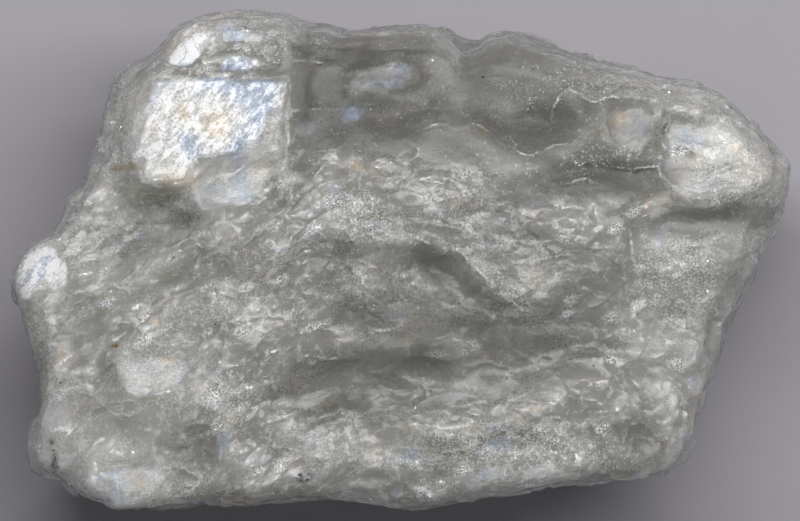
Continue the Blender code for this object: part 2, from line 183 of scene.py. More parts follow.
CUBE = Euler([math.radians(angle) for angle in CUBE_TURN_DEG]).to_matrix()
plain_solid.faces.ensure_lookup_table()
plain_solid.normal_update()
cleaved = set()
for face in plain_solid.faces:
    turned = CUBE.transposed() @ face.normal
    if max(abs(turned.x), abs(turned.y), abs(turned.z)) > SQUARE_ENOUGH:
        cleaved.add(face.index)
rough_faces = bmesh.new()
for face in plain_solid.faces:
    if face.index not in cleaved and face.normal.z > RESTING_Z:
        rough_faces.faces.new([rough_faces.verts.new(v.co) for v in face.verts])
rough_tree = BVHTree.FromBMesh(rough_faces)

count = len(surface.data.vertices)
places = np.empty(count * 3)
surface.data.vertices.foreach_get("co", places)
places = places.reshape(-1, 3) / MM
normals = np.empty(count * 3)
surface.data.vertex_normals.foreach_get("vector", normals)
normals = normals.reshape(-1, 3)
rough_distance = np.array([rough_tree.find_nearest(Vector(p) * MM)[3] for p in places]) / MM
flat = np.clip(rough_distance / FLAT_MARGIN_MM, 0.0, 1.0)
upper = np.clip((normals[:, 2] - UPPER_START_Z) / UPPER_RANGE_Z, 0.0, 1.0)
print("points:", count, " flat share:", round(float(flat.mean()), 3))

# %% [markdown]
# ### Crests
# Where hollows meet, thin crests are left, and cracks end in the same kind of line. They catch the light as
# pale, wavy threads, painted pale in the material: partly whiter crests, partly painted highlights. Each is
# given as points in millimetres in plan.

# %% Crest lines
CRESTS = (
    ((-30.4, 24.9), (-27.9, 23.9), (-25.2, 23.7), (-22.4, 23.8), (-17.3, 23.8)),
    ((-13.8, 21.7), (-14.1, 19.1), (-14.2, 16.6), (-14.4, 12.8), (-16.4, 10.2)),
    ((-21.8, 26.2), (-18.3, 26.3), (-16.4, 24.9), (-14.8, 24.6)),
    ((-13.2, 24.9), (-10.3, 24.6)),
    ((-13.6, 18.7), (-10.7, 18.8), (-7.8, 18.8)),
    ((-10.3, 13.4), (-8.1, 13.6), (-9.3, 12.2), (-10.7, 10.6)),
    ((-19.6, 1.9), (-17.9, 3.4), (-16.4, 4.6), (-15.4, 4.8), (-14.4, 3.8)),
    ((-16.4, 0.1), (-13.8, 2.6), (-12.2, 4.6), (-10.9, 4.2), (-9.1, 2.3)),
    ((-28.2, 1.9), (-25.9, 2.9), (-24.7, 1.7)),
    ((-23.4, 3.8), (-21.8, 4.6), (-20.6, 3.8), (-20.2, 2.9)),
    ((-7.7, 2.8), (-6.2, 2.9), (-2.9, 3.6), (-0.4, 3.4), (3.3, 2.3), (5.6, 1.7), (8.1, 0.3)),
    ((8.1, 0.3), (10.9, -2.8), (13.6, -5.1), (15.8, -6.3)),
    ((-40.6, -4.1), (-38.1, -3.4), (-36.4, -2.8), (-34.9, -3.3), (-32.7, -3.4)),
    ((-36.2, -7.9), (-33.3, -7.6), (-32.1, -8.8), (-31.1, -9.8)),
    ((-29.8, -10.2), (-27.6, -9.8), (-26.1, -10.4)),
    ((-43.3, -16.8), (-42.6, -16.2), (-40.6, -16.2), (-38.4, -16.8), (-36.8, -18.4), (-35.6, -19.1),
        (-33.6, -19.1), (-32.3, -18.4)),
    ((-36.2, -17.8), (-34.9, -17.3), (-33.3, -17.4), (-32.3, -18.4)),
    ((-24.9, -13.9), (-23.1, -14.9), (-21.7, -15.6), (-22.4, -16.6)),
    ((-26.3, -20.3), (-24.9, -20.1), (-23.7, -20.7), (-23.1, -21.9), (-22.8, -22.9)),
    ((-29.8, -23.6), (-28.2, -24.3), (-26.6, -24.1), (-25.7, -22.3)),
    ((-38.1, -25.6), (-36.2, -25.6), (-33.6, -25.2)),
    ((-32.9, -28.7), (-31.1, -27.1), (-29.4, -25.8), (-27.2, -25.8), (-25.3, -27.1), (-26.6, -28.7),
        (-28.6, -29.3)),
    ((-15.4, -21.6), (-13.6, -21.6), (-11.3, -22.3), (-9.7, -23.2)),
    ((-15.7, -23.2), (-13.8, -23.6), (-10.9, -24.4), (-9.1, -24.4)),
    ((-12.6, -6.3), (-10.3, -4.7), (-8.4, -3.8), (-5.6, -3.6), (-3.7, -4.7)),
    ((-22.4, -7.6), (-20.2, -7.3), (-17.1, -6.8), (-14.4, -7.3)),
    ((-29.8, -5.3), (-28.2, -4.4), (-25.9, -3.8), (-23.7, -4.4)),
    ((-10.3, -11.9), (-7.8, -11.9), (-5.6, -12.1)),
    ((6.8, 24.9), (8.4, 26.8), (10.7, 28.1), (12.6, 28.6)),
    ((2.7, 16.3), (4.9, 16.9), (7.2, 16.2), (9.4, 16.9), (10.9, 15.1)),
    ((-0.2, 14.4), (0.8, 14.7), (2.3, 13.4), (0.4, 12.2)),
    ((18.7, 17.6), (18.9, 19.2), (20.2, 20.9), (22.2, 20.8)),
    ((22.2, 20.4), (24.1, 19.8), (26.3, 20.3), (30.4, 20.2)),
    ((33.6, 17.3), (32.2, 15.1), (32.8, 13.4), (32.1, 11.8), (32.7, 10.2), (34.3, 8.8), (37.4, 7.7)),
    ((33.3, 14.7), (34.9, 14.4), (36.8, 13.4), (39.7, 13.1), (41.6, 14.1)),
    ((35.8, 10.2), (38.7, 10.6), (41.6, 12.2)),
    ((37.0, 9.3), (39.6, 9.9), (42.2, 11.3)),
    ((36.4, 11.5), (38.8, 11.9), (41.2, 12.9)),
    ((37.4, 7.7), (39.9, 8.3), (41.9, 8.7), (45.1, 9.6), (47.7, 10.6)),
    ((13.8, 13.8), (15.8, 13.1), (18.9, 14.1), (22.2, 14.7)),
    ((20.6, 9.6), (22.8, 10.1), (24.1, 9.6)),
    ((26.9, 11.6), (32.1, 11.6)),
    ((2.1, 9.9), (3.9, 10.2), (6.2, 9.9), (7.6, 8.3)),
    ((17.7, 0.3), (20.8, 0.6)),
    ((3.9, -3.4), (5.6, -3.2), (6.8, -4.4), (7.8, -5.7), (10.3, -6.3), (11.6, -6.9)),
    ((4.6, -20.7), (6.2, -20.7), (10.3, -20.4), (12.6, -20.3)),
    ((12.9, -20.3), (14.2, -19.4), (16.7, -19.1), (19.6, -19.4)),
    ((-0.2, -22.9), (3.9, -23.6), (7.2, -23.6), (9.7, -22.9)),
    ((15.4, -24.2), (17.1, -22.9), (18.9, -21.6)),
    ((-0.2, -25.2), (6.2, -25.2)),
    ((21.2, -16.8), (24.1, -17.4), (24.7, -18.1)),
    ((32.9, -20.7), (33.6, -21.6), (35.8, -21.6)),
    ((27.6, -22.3), (28.6, -20.3), (30.4, -20.3), (32.1, -22.3)),
)
CREST_HALF_WIDTH_MM = 0.32
CREST_HEIGHT_MM = 0.17
CURVE_STEPS = 5
FAR_MM = 4.0
# (length of a waver, its size), and the layer of the noise that it is read from
WANDER_MM = ((1.9, 0.35), (0.7, 0.12))
WANDER_LAYER = 3.0
# Vector noise starts from the clock unless it is given a seed, and then each run would differ.
NOISE_SEED = 17
noise.seed_set(NOISE_SEED)


def wander(points):
    """Plan places of the points, moved a little by noise so that straight lines waver."""
    moved = points[:, :2].copy()
    for i, p in enumerate(points):
        for length, size in WANDER_MM:
            shift = noise.noise_vector(Vector((p[0] / length, p[1] / length, WANDER_LAYER)))
            moved[i, 0] += size * shift.x
            moved[i, 1] += size * shift.y
    return moved


def curved(line):
    """A smooth Catmull-Rom curve through the line's points."""
    ends = [line[0], *line, line[-1]]
    made = []
    for a, b, c, d in zip(ends, ends[1:], ends[2:], ends[3:]):
        for step in range(CURVE_STEPS):
            t = step / CURVE_STEPS
            made.append(tuple(0.5 * (2 * q + (r - p) * t + (2 * p - 5 * q + 4 * r - u) * t * t
                                     + (3 * q - p - 3 * r + u) * t * t * t)
                              for p, q, r, u in zip(a, b, c, d)))
    return made + [line[-1]]


def in_reach(plan, line, reach):
    """True for the points that lie in the box around the line, with the reach added on every side."""
    low, high = np.min(line, axis=0) - reach, np.max(line, axis=0) + reach
    return np.all((plan > low) & (plan < high), axis=1)


def signed_distance(plan, line):
    """Distance in plan from many points to a line through several points, negative on its right side."""
    best = np.full(len(plan), np.inf)
    for (ax, ay), (bx, by) in zip(line, line[1:]):
        ex, ey = bx - ax, by - ay
        px, py = plan[:, 0] - ax, plan[:, 1] - ay
        along = np.clip((px * ex + py * ey) / (ex * ex + ey * ey), 0.0, 1.0)
        away = np.hypot(px - along * ex, py - along * ey)
        away = np.where(ex * py - ey * px < 0.0, -away, away)
        best = np.where(np.abs(away) < np.abs(best), away, best)
    return best


plan = wander(places)
crest_offset = np.full(count, FAR_MM)
for line in CRESTS:
    smooth = curved(line)
    near = in_reach(plan, smooth, FAR_MM)
    offset = signed_distance(plan[near], smooth)
    crest_offset[near] = np.where(np.abs(offset) < np.abs(crest_offset[near]), offset, crest_offset[near])
crest = np.exp(-((crest_offset / CREST_HALF_WIDTH_MM) ** 2)) * upper
print("crest lines:", len(CRESTS), " points on them:", int((crest > 0.5).sum()))

# %% [markdown]
# ### Where the salt is white, and where it is clear
# Some panes are shot through with tiny cracks and look white, and so do some of the flat panes on the
# flanks, picked by a broad noise. On the top, the panes' white is also partly a painted reflection of the
# lamp. Milky zones are hazy with fluid inclusions, and between them lie darker windows of clear salt, which
# reach down into the flanks. Each zone is an ellipse in plan with soft edges.

# %% White panes and patches
# (how white, how warm: -1 is bluish and 1 is peach, corners in plan)
WHITE_PATCHES = (
    (1.0, 0, ((-30.4, 22.3), (-25.2, 22.6), (-20.2, 22.3), (-14.2, 22.1), (-14.7, 18.8), (-16.7, 18.6),
        (-17.4, 15.1), (-20.8, 13.6), (-25.2, 13.1), (-26.4, 11.6), (-27.1, 9.9), (-31.4, 9.7),
        (-32.3, 11.1), (-31.7, 12.6), (-33.1, 12.8), (-32.1, 16.3), (-31.2, 20.1))),
    (0.0, -1.0, ((-31.2, 15.6), (-28.4, 16.2), (-25.4, 14.9), (-25.2, 12.6), (-28.7, 11.2), (-31.6, 12.4))),
    (0.0, -0.9, ((-21.6, 22.2), (-17.4, 22.2), (-15.2, 20.8), (-16.4, 18.2), (-20.4, 19.6))),
    (0.0, 0.8, ((-24.6, 18.2), (-22.4, 18.6), (-20.2, 16.6), (-20.9, 14.2), (-24.2, 13.6), (-25.4, 15.4))),
    (0.55, 0.7, ((-33.9, 19.8), (-32.8, 20.6), (-32.6, 16.8), (-34.1, 13.0), (-34.9, 13.4), (-34.2, 16.4))),
    (0.42, 0, ((-17.2, 18.6), (-14.1, 19.3), (-14.1, 12.6), (-16.2, 10.3), (-17.4, 8.6), (-20.2, 7.3),
        (-24.6, 5.8), (-26.2, 8.8), (-26.2, 11.1), (-24.7, 12.8), (-20.4, 13.3))),
    (1.3, 0.4, ((-29.6, 25.8), (-27.9, 27.8), (-26.4, 28.8), (-24.6, 28.8), (-23.2, 28.3), (-24.4, 26.9),
        (-25.2, 25.1), (-26.4, 24.2), (-28.7, 24.4))),
    (1.0, -1, ((-22.6, 24.3), (-21.9, 25.3), (-20.2, 25.4), (-17.9, 25.1), (-17.2, 23.9), (-22.1, 23.7))),
    (0.8, 0, ((-22.8, 28.8), (-21.2, 29.6), (-20.4, 28.6), (-17.4, 28.1), (-17.4, 27.1), (-20.2, 27.1),
        (-21.9, 27.6))),
    (0.52, 0, ((33.0, 16.1), (34.4, 17.3), (37.5, 17.0), (41.0, 16.8), (43.2, 15.8), (42.6, 14.4),
        (41.2, 13.6), (38.9, 13.3), (36.1, 13.9), (34.6, 14.2), (33.2, 13.8), (32.2, 14.9))),
    (0.95, 0, ((36.2, 14.6), (38.4, 14.0), (40.6, 14.4), (42.3, 15.5), (42.9, 14.6), (41.4, 13.2),
        (39.4, 12.4), (37.0, 12.8))),
    (0.32, 0, ((32.8, 13.4), (36.1, 12.8), (37.9, 11.6), (37.3, 10.3), (39.8, 11.1), (41.7, 11.9),
        (44.8, 11.9), (46.1, 10.3), (41.9, 8.8), (37.4, 7.7), (34.3, 8.8), (32.7, 10.2), (32.1, 11.8))),
    (1.3, 0, ((-48.4, -0.2), (-46.4, 1.8), (-44.7, 2.6), (-42.9, 1.3), (-41.9, -0.2), (-41.4, -3.1),
        (-43.2, -3.9), (-43.9, -2.8), (-45.2, -2.4), (-46.2, -4.7), (-47.4, -4.9), (-48.7, -3.1))),
    (0.62, 0, ((-35.2, -12.4), (-33.3, -11.7), (-30.2, -11.9), (-26.4, -12.2), (-26.2, -13.9),
        (-27.7, -15.4), (-29.6, -16.4), (-32.4, -16.9), (-33.9, -15.9), (-35.4, -14.3))),
    (0.6, 0.8, ((25.8, 17.8), (26.3, 18.6), (29.8, 19.1), (31.1, 17.6), (30.4, 15.3), (28.8, 13.8),
        (27.3, 14.1), (26.1, 15.7))),
    (0.55, -2.0, ((-6.4, 22.1), (-4.9, 22.8), (-2.9, 23.8), (-0.4, 24.8), (1.3, 24.3), (1.1, 22.6),
        (-0.8, 21.6), (-3.9, 21.3), (-5.7, 21.6))),
    (0.85, 0, ((-37.7, -30.7), (-36.7, -29.2), (-35.4, -28.4), (-34.4, -29.9), (-35.4, -30.9))),
    (0.5, 0, ((-44.6, -18.4), (-42.4, -17.9), (-40.8, -18.9), (-41.1, -20.9), (-43.9, -21.2))),
    (0.85, -0.2, ((35.4, -14.7), (36.8, -14.2), (38.3, -14.9), (37.9, -16.4), (36.3, -17.1))),
    (0.85, 0, ((32.2, -26.3), (32.7, -23.9), (33.6, -21.8), (35.8, -21.4), (35.6, -23.4), (34.3, -25.2),
        (33.3, -26.4))),
    (0.6, -1, ((10.6, -22.9), (11.6, -22.1), (13.3, -21.9), (14.2, -23.3), (13.1, -24.4), (11.3, -24.2))),
    (0.7, 0, ((46.8, 12.6), (48.1, 13.1), (48.9, 11.9), (48.8, 10.6), (47.6, 10.3))),
    (0.6, 0, ((39.3, -7.7), (40.8, -5.7), (43.1, -3.2), (42.6, -5.2), (40.6, -7.2))),
    (0.85, 0.5, ((31.7, 22.1), (33.8, 22.7), (35.3, 22.3), (37.3, 21.3), (37.1, 19.9), (36.1, 20.7),
        (34.3, 21.3), (32.3, 21.2))),
    (0.8, 0.5, ((-15.1, 10.1), (-14.7, 11.1), (-12.7, 10.6), (-11.9, 9.7), (-13.9, 9.3))),
    (0.6, 0.6, ((-7.7, 11.8), (-5.8, 12.4), (-4.2, 11.6), (-2.4, 10.2), (-3.7, 10.8), (-6.4, 11.1))),
    (0.65, -1, ((-7.9, 18.6), (-6.2, 19.2), (-4.4, 18.6), (-5.2, 17.1), (-7.2, 17.2))),
    (0.9, 2.8, ((-31.0, -7.2), (-30.2, -7.2), (-30.2, -8.0), (-31.0, -8.0))),
    (0.9, 0, ((2.8, 6.1), (3.8, 6.8), (5.1, 6.4), (4.6, 5.7))),
    (0.4, 0.8, ((-13.7, 16.6), (-12.2, 17.4), (-10.4, 16.8), (-11.2, 15.6), (-12.9, 15.7))),
    (0.55, 0, ((-23.4, 3.6), (-21.9, 4.4), (-20.4, 3.8), (-20.2, 2.8), (-21.9, 2.6), (-23.2, 2.8))),
    (0.5, 0.2, ((-22.7, -18.1), (-21.2, -17.4), (-20.4, -19.9), (-21.4, -22.4), (-22.4, -24.3),
        (-22.9, -22.4), (-21.9, -19.9))),
    (0.5, 0.3, ((4.3, -20.4), (8.6, -20.4), (12.6, -19.9), (12.3, -21.2), (8.6, -21.4), (4.8, -21.3))),
    (0.5, 0, ((-5.2, -23.4), (-0.2, -22.7), (4.8, -23.2), (4.8, -24.4), (-0.2, -25.2), (-4.4, -24.7))),
    (0.45, 0, ((-15.7, -21.2), (-12.7, -21.4), (-9.7, -22.9), (-8.9, -24.4), (-12.7, -24.2),
        (-15.2, -23.2))),
    (0.5, 0, ((-15.2, -16.8), (-12.7, -17.2), (-10.2, -17.7), (-11.2, -18.4), (-14.4, -17.9))),
    (0.4, 0, ((-42.7, -8.7), (-40.8, -9.7), (-39.9, -11.4), (-41.4, -13.9), (-42.9, -14.7),
        (-43.2, -11.9))),
    (0.45, 0, ((-37.4, -26.2), (-33.9, -25.7), (-29.6, -25.2), (-29.2, -27.4), (-31.4, -28.9),
        (-35.2, -28.2))),
)
PATCH_EDGE_MM = 0.3
PATCH_REACH_MM = 1.0
FLANK_WHITE = 0.55
FLANK_PANE_MM = 9.0
FLANK_PANE_GAIN = 4.0


def inside(plan, corners):
    """True for the points that lie inside the closed outline."""
    odd = np.zeros(len(plan), bool)
    for (ax, ay), (bx, by) in zip(corners, corners[1:] + corners[:1]):
        crosses = (plan[:, 1] < ay) != (plan[:, 1] < by)
        odd ^= crosses & (plan[:, 0] < ax + (plan[:, 1] - ay) / ((by - ay) or 1.0) * (bx - ax))
    return odd


white = np.zeros(count)
warm = np.zeros(count)
for strength, warmth, corners in WHITE_PATCHES:
    near = in_reach(plan, corners, PATCH_REACH_MM) & (upper > 0.0)
    away = np.abs(signed_distance(plan[near], corners + corners[:1]))
    away = np.where(inside(plan[near], corners), -away, away)
    share = np.clip(0.5 - away / PATCH_EDGE_MM / 2.0, 0.0, 1.0)
    white[near] = np.maximum(white[near], strength * share)
    warm[near] += warmth * share
white *= upper
pane_noise = np.array([noise.noise(Vector(p) / FLANK_PANE_MM) for p in places])
flank_white = FLANK_WHITE * np.clip(FLANK_PANE_GAIN * pane_noise, 0.0, 1.0) * flat * (1.0 - upper)
white = np.maximum(white, flank_white)
print("white patches:", len(WHITE_PATCHES), " points in them:", int((white > 0.3).sum()))

# %% Clear windows
# A zone ends at ZONE_REACH times its ellipse's size, and it fades out over the last ZONE_FADE of that.
ZONE_REACH = 1.35
ZONE_FADE = 0.6
# (x, y, half length, half width, turn in degrees, strength)
CLEAR_WINDOWS = (
    (-4.6, 26.6, 9.6, 3.2, 0.0, 1.5),
    (-3.0, 19.0, 11.0, 5.0, 0.0, 1.25),
    (14.6, 18.0, 8.6, 6.0, -20.0, 1.25),
    (23.0, 9.8, 12.0, 2.6, 4.0, 1.2),
    (7.0, 21.0, 24.0, 9.0, -8.0, 1.08),
    (6.0, -4.0, 18.0, 12.0, -8.0, 0.42),
    (4.0, -13.4, 19.0, 6.0, 9.0, 0.60),
    (5.6, -0.8, 5.6, 2.4, -40.0, 0.9),
    (-31.0, 4.8, 8.6, 3.2, 26.0, 0.45),
    (-12.0, 15.0, 3.0, 6.0, 0.0, 0.8),
    (39.0, 5.0, 9.0, 1.8, 6.0, 0.9),
    (28.8, -22.8, 4.0, 3.0, 20.0, 0.7),
)


def soft_ellipses(plan, ellipses):
    """The strongest of the ellipses at each point, with soft edges."""
    strongest = np.zeros(len(plan))
    for cx, cy, half_length, half_width, turn, strength in ellipses:
        c, s = math.cos(math.radians(turn)), math.sin(math.radians(turn))
        u = ((plan[:, 0] - cx) * c + (plan[:, 1] - cy) * s) / half_length
        v = ((plan[:, 1] - cy) * c - (plan[:, 0] - cx) * s) / half_width
        edge = np.clip((ZONE_REACH - np.hypot(u, v)) / ZONE_FADE, 0.0, 1.0)
        strongest = np.maximum(strongest, strength * edge * edge * (3.0 - 2.0 * edge))
    return strongest


clear_through = soft_ellipses(plan, CLEAR_WINDOWS)
clear = clear_through * upper
print("clear windows:", len(CLEAR_WINDOWS), " clear share:", round(float((clear > 0.5).mean()), 3))

# %% Milky zones, rust stains and dark inclusions
# (x, y, half length, half width, turn in degrees, strength)
MILKY_ZONES = (
    (36.0, -6.0, 8.0, 14.0, 0.0, 1.5),
    (-38.0, -24.0, 10.0, 8.0, 0.0, 3.4),
    (-35.6, 15.0, 3.4, 7.0, -20.0, 2.8),
    (-30.5, 7.6, 6.0, 2.4, 8.0, 2.0),
    (-34.0, -9.0, 13.0, 10.0, 0.0, 1.1),
    (-46.0, -2.0, 5.0, 5.0, 0.0, 1.0),
    (43.0, 11.0, 6.0, 6.0, 0.0, 1.0),
    (0.0, -25.0, 28.0, 4.0, 0.0, 0.6),
    (-24.0, 8.0, 9.0, 3.6, 26.0, 0.9),
)
RUST_STAINS = (
    (-35.4, -10.9, 0.55, 0.35, 0.0, 0.9),
    (-34.3, 11.5, 1.7, 0.4, 5.0, 0.9),
    (24.5, 15.7, 0.5, 0.4, 0.0, 0.8),
    (-8.7, -18.3, 0.3, 0.3, 0.0, 0.7),
    (-8.1, -9.4, 0.9, 0.2, -10.0, 0.5),
    (10.0, 16.1, 0.5, 0.3, 0.0, 0.5),
)
DARK_INCLUSIONS = (
    (-12.2, -26.9, 1.2, 0.75, 10.0, 1.0),
    (-43.2, -25.2, 0.25, 1.4, 0.0, 0.8),
    (-43.4, -22.6, 0.5, 0.5, 0.0, 0.6),
    (-23.0, -7.9, 0.5, 0.4, 0.0, 0.4),
)
milky = soft_ellipses(plan, MILKY_ZONES) * upper
rust = soft_ellipses(plan, RUST_STAINS) * upper
inked = soft_ellipses(plan, DARK_INCLUSIONS) * upper
print("milky zones:", len(MILKY_ZONES), " stains:", len(RUST_STAINS), " inclusions:", len(DARK_INCLUSIONS))

# %% Sparkling zones
# (x, y, half length, half width, turn in degrees, strength)
SPARKLE_ZONES = (
    (-5.0, 5.6, 5.0, 2.6, -30.0, 1.0),
    (3.4, 2.2, 6.0, 1.0, -14.0, 1.0),
    (12.4, -3.0, 5.6, 1.2, -42.0, 1.0),
    (23.0, 12.4, 3.6, 1.8, 0.0, 0.9),
    (22.6, 22.4, 5.0, 2.6, -15.0, 0.8),
    (17.6, 21.2, 5.0, 2.2, 0.0, 0.7),
    (-13.9, 12.0, 1.0, 4.4, 0.0, 0.7),
    (-12.6, -22.4, 4.6, 2.0, 0.0, 0.7),
    (12.0, -22.6, 9.6, 2.6, 0.0, 0.9),
    (8.6, -24.6, 14.0, 1.6, 0.0, 0.7),
    (-31.0, -13.4, 4.6, 3.0, 0.0, 0.7),
    (-21.6, -17.6, 3.4, 4.4, 0.0, 0.7),
    (34.6, -2.0, 5.4, 5.4, 0.0, 0.8),
    (26.4, -23.8, 3.4, 2.4, 0.0, 0.7),
    (-35.6, 14.4, 2.6, 6.4, -20.0, 0.7),
    (41.0, 11.0, 4.2, 4.6, 0.0, 0.8),
    (28.0, 13.4, 2.0, 1.2, 0.0, 1.0),
    (-24.0, -6.0, 9.0, 2.2, 26.0, 0.45),
    (-41.0, -20.0, 3.4, 6.0, 0.0, 0.4),
    (-2.0, -3.6, 5.0, 2.4, 10.0, 0.5),
    (-36.8, 18.4, 2.6, 6.4, -22.0, 0.8),
    (-24.0, 29.4, 9.0, 1.8, 4.0, 0.7),
    (-10.0, 27.6, 1.4, 1.2, 0.0, 1.0),
    (-16.6, 26.4, 4.0, 2.4, 0.0, 0.6),
    (-43.6, 3.4, 4.0, 3.2, 40.0, 0.6),
    (44.4, 5.6, 3.4, 7.0, 12.0, 0.6),
    (30.0, 22.6, 10.0, 1.8, -14.0, 0.6),
    (-45.0, -12.0, 2.0, 9.0, 0.0, 0.4),
    (-33.0, -28.6, 9.0, 1.8, 0.0, 0.5),
    (8.0, 7.2, 6.0, 2.2, 10.0, 0.5),
)
spark = soft_ellipses(plan, SPARKLE_ZONES)
print("sparkling zones:", len(SPARKLE_ZONES))

# %% [markdown]
# ### Facets and ripples
# Dissolving and splitting leave a patchwork of small faces, each a little higher or more tilted than the
# next, with a thin ledge between them. They are drawn out along bands that rise to the right on the left
# half and lie level on the right half. Each face is the set of points nearest to one seed.

# %% Facets
BAND_SLOPE = 0.5
BAND_LEVEL_X_MM = -6.0
BAND_STRETCH = 1.6
# (length of a waver, its size), and (length of a ripple, its height)
WARP_MM = ((4.0, 1.1), (1.3, 0.35))
RIPPLE_MM = ((6.0, 0.16), (2.4, 0.06))
# (face size, step between faces, tilt, share of the tone)
FACET_SIZES = ((4.0, 0.16, 0.066, 0.6), (1.7, 0.05, 0.066, 0.4))
# Relief fades out towards the floor, and most of it is lost on flat panes and in clear windows.
BASE_FADE_MM = 3.0
FLAT_SMOOTHS, CLEAR_SMOOTHS, FLAT_LOWERS_CRESTS = 0.93, 0.75, 0.6
DRAW_SEED = 17
draw = np.random.default_rng(DRAW_SEED)


def banded(place):
    """The place along and across the bands."""
    x, y, z = place
    return Vector((x / BAND_STRETCH, y - BAND_SLOPE * min(x - BAND_LEVEL_X_MM, 0.0), z))


def warped(place):
    """The place moved a little by noise, so that the edges of faces waver."""
    moved = place.copy()
    for length, size in WARP_MM:
        moved += size * noise.noise_vector(place / length)
    return moved


def facets(points, size, step, tilt):
    """Height, tone and signed distance to the nearest ledge for every point, from seeds about size apart."""
    low = np.array([min(p[i] for p in points) for i in range(3)]) - size
    high = np.array([max(p[i] for p in points) for i in range(3)]) + size
    seeds = int(np.prod(high - low) / size ** 3)
    middles = draw.uniform(low, high, (seeds, 3))
    steps = draw.uniform(-step, step, seeds)
    tilts = draw.normal(0.0, tilt, (seeds, 3))
    tones = draw.uniform(0.0, 1.0, seeds)
    tree = KDTree(seeds)
    for i, middle in enumerate(middles):
        tree.insert(middle, i)
    tree.balance()
    height, tone, ledge = np.empty(len(points)), np.empty(len(points)), np.empty(len(points))
    for i, p in enumerate(points):
        (_, first, near), (_, second, far) = tree.find_n(p, 2)
        height[i] = steps[first] + float(np.dot(tilts[first], np.array(p) - middles[first]))
        tone[i] = tones[first]
        ledge[i] = (far - near) / 2.0 * (1.0 if first < second else -1.0)
    return height, tone, ledge


band_places = [banded(p) for p in places]
warp_places = [warped(p) for p in band_places]
height = np.zeros(count)
cell_tone = np.zeros(count)
ledges = []
for size, step, tilt, tone_share in FACET_SIZES:
    steps_mm, tones, ledge = facets(warp_places, size, step, tilt)
    height += steps_mm
    cell_tone += tone_share * tones
    ledges.append(ledge)
for length, size in RIPPLE_MM:
    height += size * np.array([noise.noise(p / length) for p in band_places])
base = np.clip(places[:, 2] / BASE_FADE_MM, 0.0, 1.0)
smooth_share = (1.0 - FLAT_SMOOTHS * flat) * np.clip(1.0 - CLEAR_SMOOTHS * clear, 0.0, 1.0)
lift = height * smooth_share * base + CREST_HEIGHT_MM * crest * (1.0 - FLAT_LOWERS_CRESTS * flat)
places += normals * lift[:, None]
places[:, 2] = np.maximum(places[:, 2], 0.0)
surface.data.vertices.foreach_set("co", (places * MM).ravel())
surface.data.update()
print("height range, mm:", round(float(lift.min()), 2), "to", round(float(lift.max()), 2))

# %% [markdown]
# ### What the material reads
# A shader does not know where the panes, windows and ledges lie, so every point of the mesh keeps them as
# named values, and the material reads those by name.

# %% Values kept at the points for the material
CLEAR_LOSES_MILK = 0.94
CLEAR_LOSES_CELLS = 0.75
MILKY_GAIN = 0.24
CELL_GAIN = 0.12
# How much lighter the flanks are painted: painted light where the lamp at the back leaves them in shade.
FLANK_PAINTED_LIGHT = 0.60
# The deepest windows are darker still: clearness past DEEP_FROM, over DEEP_RANGE and up to DEEP_MOST.
DEEP_FROM, DEEP_RANGE, DEEP_MOST, DEEP_LOSS = 1.0, 0.35, 1.4, 0.32

deep = np.clip((clear - DEEP_FROM) / DEEP_RANGE, 0.0, DEEP_MOST)
cell_lift = CELL_GAIN * (cell_tone - 0.5) * (1.0 - CLEAR_LOSES_CELLS * clear)
# Painted light: the flanks' colour is lifted, except in clear windows, to stand in for the light they lack.
flank_painted_light = FLANK_PAINTED_LIGHT * (1.0 - upper) * np.clip(1.0 - clear_through, 0.0, 1.0)
point_values = {
    "white": white,
    "warm": warm,
    "clear": clear,
    "milk_share": np.clip(1.0 - CLEAR_LOSES_MILK * clear, 0.0, 1.0),
    "milk_and_flank_light": MILKY_GAIN * milky + cell_lift - DEEP_LOSS * deep + flank_painted_light,
    "crest_offset": crest_offset,
    "upper": upper,
    "spark": spark,
    "rust": rust,
    "inked": inked,
    "ledge": ledges[0],
    "small_ledge": ledges[1],
}
for name, values in point_values.items():
    layer = surface.data.attributes.new(name, "FLOAT", "POINT")
    layer.data.foreach_set("value", np.asarray(values, np.float32))
for name, moved in (("band_place", band_places), ("warp_place", warp_places)):
    layer = surface.data.attributes.new(name, "FLOAT_VECTOR", "POINT")
    layer.data.foreach_set("vector", (np.array([tuple(p) for p in moved]) * MM).astype(np.float32).ravel())
print("values kept:", len(surface.data.attributes))

# %% Smooth shading with the sharp ledges kept
SHARP_ANGLE_DEG = 42.0

select_only(surface)
bpy.ops.object.shade_smooth_by_angle(angle=math.radians(SHARP_ANGLE_DEG))
print("triangles:", sum(len(f.vertices) - 2 for f in surface.data.polygons))

# %% [markdown]
# ## The salt's material
# This is rock salt, mineral halite: glassy and clear where it is sound, and clouded by cracks and tiny drops
# of brine elsewhere. Its index of refraction is 1.544. Cloud is drawn as light scattered under the surface,
# and clear salt as plain transmission with a little absorption, so clear spots look dark. All patterns are
# noises and cells on the lump's own coordinates, with their sizes taken from real grains, cracks and bubbles.

# %% Rock salt, its fixed values
MATH = "ShaderNodeMath"
RANGE = "ShaderNodeMapRange"
NOISE = "ShaderNodeTexNoise"
CELLS = "ShaderNodeTexVoronoi"
MIX = "ShaderNodeMix"
HALITE_IOR = 1.544
SCATTER_MM = 16.0
SCATTER_RGB = (1.0, 1.0, 0.95)
CLEAR_SALT, ABSORB_DENSITY = "dddddb", 10.0

